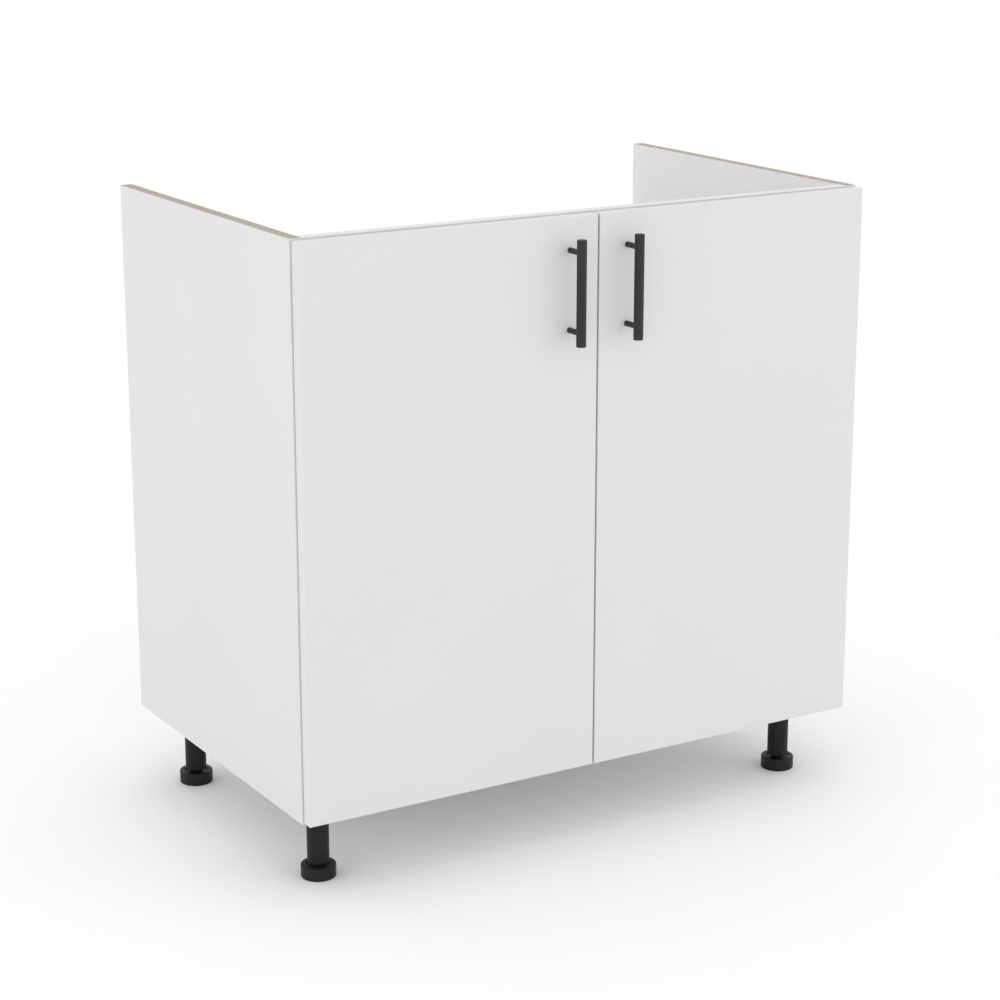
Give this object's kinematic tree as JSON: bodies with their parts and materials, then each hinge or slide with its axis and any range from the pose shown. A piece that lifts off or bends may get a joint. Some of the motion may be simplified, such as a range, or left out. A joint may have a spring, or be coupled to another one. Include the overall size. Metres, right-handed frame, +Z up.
{
  "type": "sink base cabinet",
  "caption": "Open-topped, open-backed base cabinet for a sink, with hinged doors, bar handles and adjustable legs.",
  "frame": {"origin": "on the floor, in the middle of the whole cabinet's footprint, handles included", "axes": "+X to the cabinet's right as seen from its front, +Y to the back, +Z up"},
  "size_m": [0.8, 0.529, 0.7985],
  "materials": {
    "white_board": "white melamine-faced chipboard, raw sawn chipboard on the top edges",
    "white_door": "smooth white-faced board with edge banding",
    "black_plastic": "black moulded plastic",
    "black_metal": "matt black powder coat",
    "nickel_steel": "nickel-plated pressed steel",
    "zinc_alloy": "plain zinc die casting and zinc-plated screws",
    "clear_rubber": "clear soft bumper"
  },
  "bodies": {
    "root": {"bottom_panel": "white_board", "front_rail": "white_board", "rear_rail": "white_board", "rear_kick_rail": "white_board", "side_panel_left": "white_board", "cam_front_rail_left": "zinc_alloy", "cam_rear_rail_left": "zinc_alloy", "cam_rear_kick_left": "zinc_alloy", "cam_bottom_front_left": "zinc_alloy", "cam_bottom_rear_left": "zinc_alloy", "leg_socket_front_left": "black_plastic", "leg_column_front_left": "black_plastic", "leg_socket_rear_left": "black_plastic", "leg_column_rear_left": "black_plastic", "hinge_arm_upper_left": "nickel_steel", "hinge_plate_upper_left": "nickel_steel", "hinge_arm_lower_left": "nickel_steel", "hinge_plate_lower_left": "nickel_steel", "side_panel_right": "white_board", "cam_front_rail_right": "zinc_alloy", "cam_rear_rail_right": "zinc_alloy", "cam_rear_kick_right": "zinc_alloy", "cam_bottom_front_right": "zinc_alloy", "cam_bottom_rear_right": "zinc_alloy", "leg_socket_front_right": "black_plastic", "leg_column_front_right": "black_plastic", "leg_socket_rear_right": "black_plastic", "leg_column_rear_right": "black_plastic", "hinge_arm_upper_right": "nickel_steel", "hinge_plate_upper_right": "nickel_steel", "hinge_arm_lower_right": "nickel_steel", "hinge_plate_lower_right": "nickel_steel"},
    "left_hinge_links": {"hinge_link_upper_left": "nickel_steel", "hinge_link_lower_left": "nickel_steel"},
    "left_door": {"door_left": "white_door", "handle_bar_left": "black_metal", "handle_post_upper_left": "black_metal", "handle_screw_upper_left": "zinc_alloy", "hinge_cup_upper_left": "nickel_steel", "door_bumper_upper_left": "clear_rubber", "handle_post_lower_left": "black_metal", "handle_screw_lower_left": "zinc_alloy", "hinge_cup_lower_left": "nickel_steel", "door_bumper_lower_left": "clear_rubber"},
    "right_hinge_links": {"hinge_link_upper_right": "nickel_steel", "hinge_link_lower_right": "nickel_steel"},
    "right_door": {"door_right": "white_door", "handle_bar_right": "black_metal", "handle_post_upper_right": "black_metal", "handle_screw_upper_right": "zinc_alloy", "hinge_cup_upper_right": "nickel_steel", "door_bumper_upper_right": "clear_rubber", "handle_post_lower_right": "black_metal", "handle_screw_lower_right": "zinc_alloy", "hinge_cup_lower_right": "nickel_steel", "door_bumper_lower_right": "clear_rubber"},
    "front_left_foot": {"leg_foot_front_left": "black_plastic"},
    "front_right_foot": {"leg_foot_front_right": "black_plastic"},
    "rear_left_foot": {"leg_foot_rear_left": "black_plastic"},
    "rear_right_foot": {"leg_foot_rear_right": "black_plastic"}
  },
  "joints": [
    {"name": "left_hinge_arm_pins", "type": "hinge", "parent": "root", "child": "left_hinge_links", "pos_m": [-0.3705, -0.2121, 0.42], "axis": [0, 0, -1], "range_deg": [-40, 0]},
    {"name": "left_door_swing", "type": "hinge", "parent": "left_hinge_links", "child": "left_door", "pos_m": [-0.3888, -0.2214, 0.42], "axis": [0, 0, -1], "range_deg": [0, 140]},
    {"name": "right_hinge_arm_pins", "type": "hinge", "parent": "root", "child": "right_hinge_links", "pos_m": [0.3705, -0.2121, 0.42], "axis": [0, 0, 1], "range_deg": [-40, 0]},
    {"name": "right_door_swing", "type": "hinge", "parent": "right_hinge_links", "child": "right_door", "pos_m": [0.3888, -0.2214, 0.42], "axis": [0, 0, 1], "range_deg": [0, 140]},
    {"name": "front_left_foot_screw", "type": "slide", "parent": "root", "child": "front_left_foot", "axis": [0, 0, -1], "range_m": [0, 0.02]},
    {"name": "front_right_foot_screw", "type": "slide", "parent": "root", "child": "front_right_foot", "axis": [0, 0, -1], "range_m": [0, 0.02]},
    {"name": "rear_left_foot_screw", "type": "slide", "parent": "root", "child": "rear_left_foot", "axis": [0, 0, -1], "range_m": [0, 0.02]},
    {"name": "rear_right_foot_screw", "type": "slide", "parent": "root", "child": "rear_right_foot", "axis": [0, 0, -1], "range_m": [0, 0.02]}
  ],
  "couplings": [
    {"joint": "left_hinge_arm_pins", "follows": "left_door_swing", "ratio": -0.28571},
    {"joint": "right_hinge_arm_pins", "follows": "right_door_swing", "ratio": -0.28571}
  ]
}
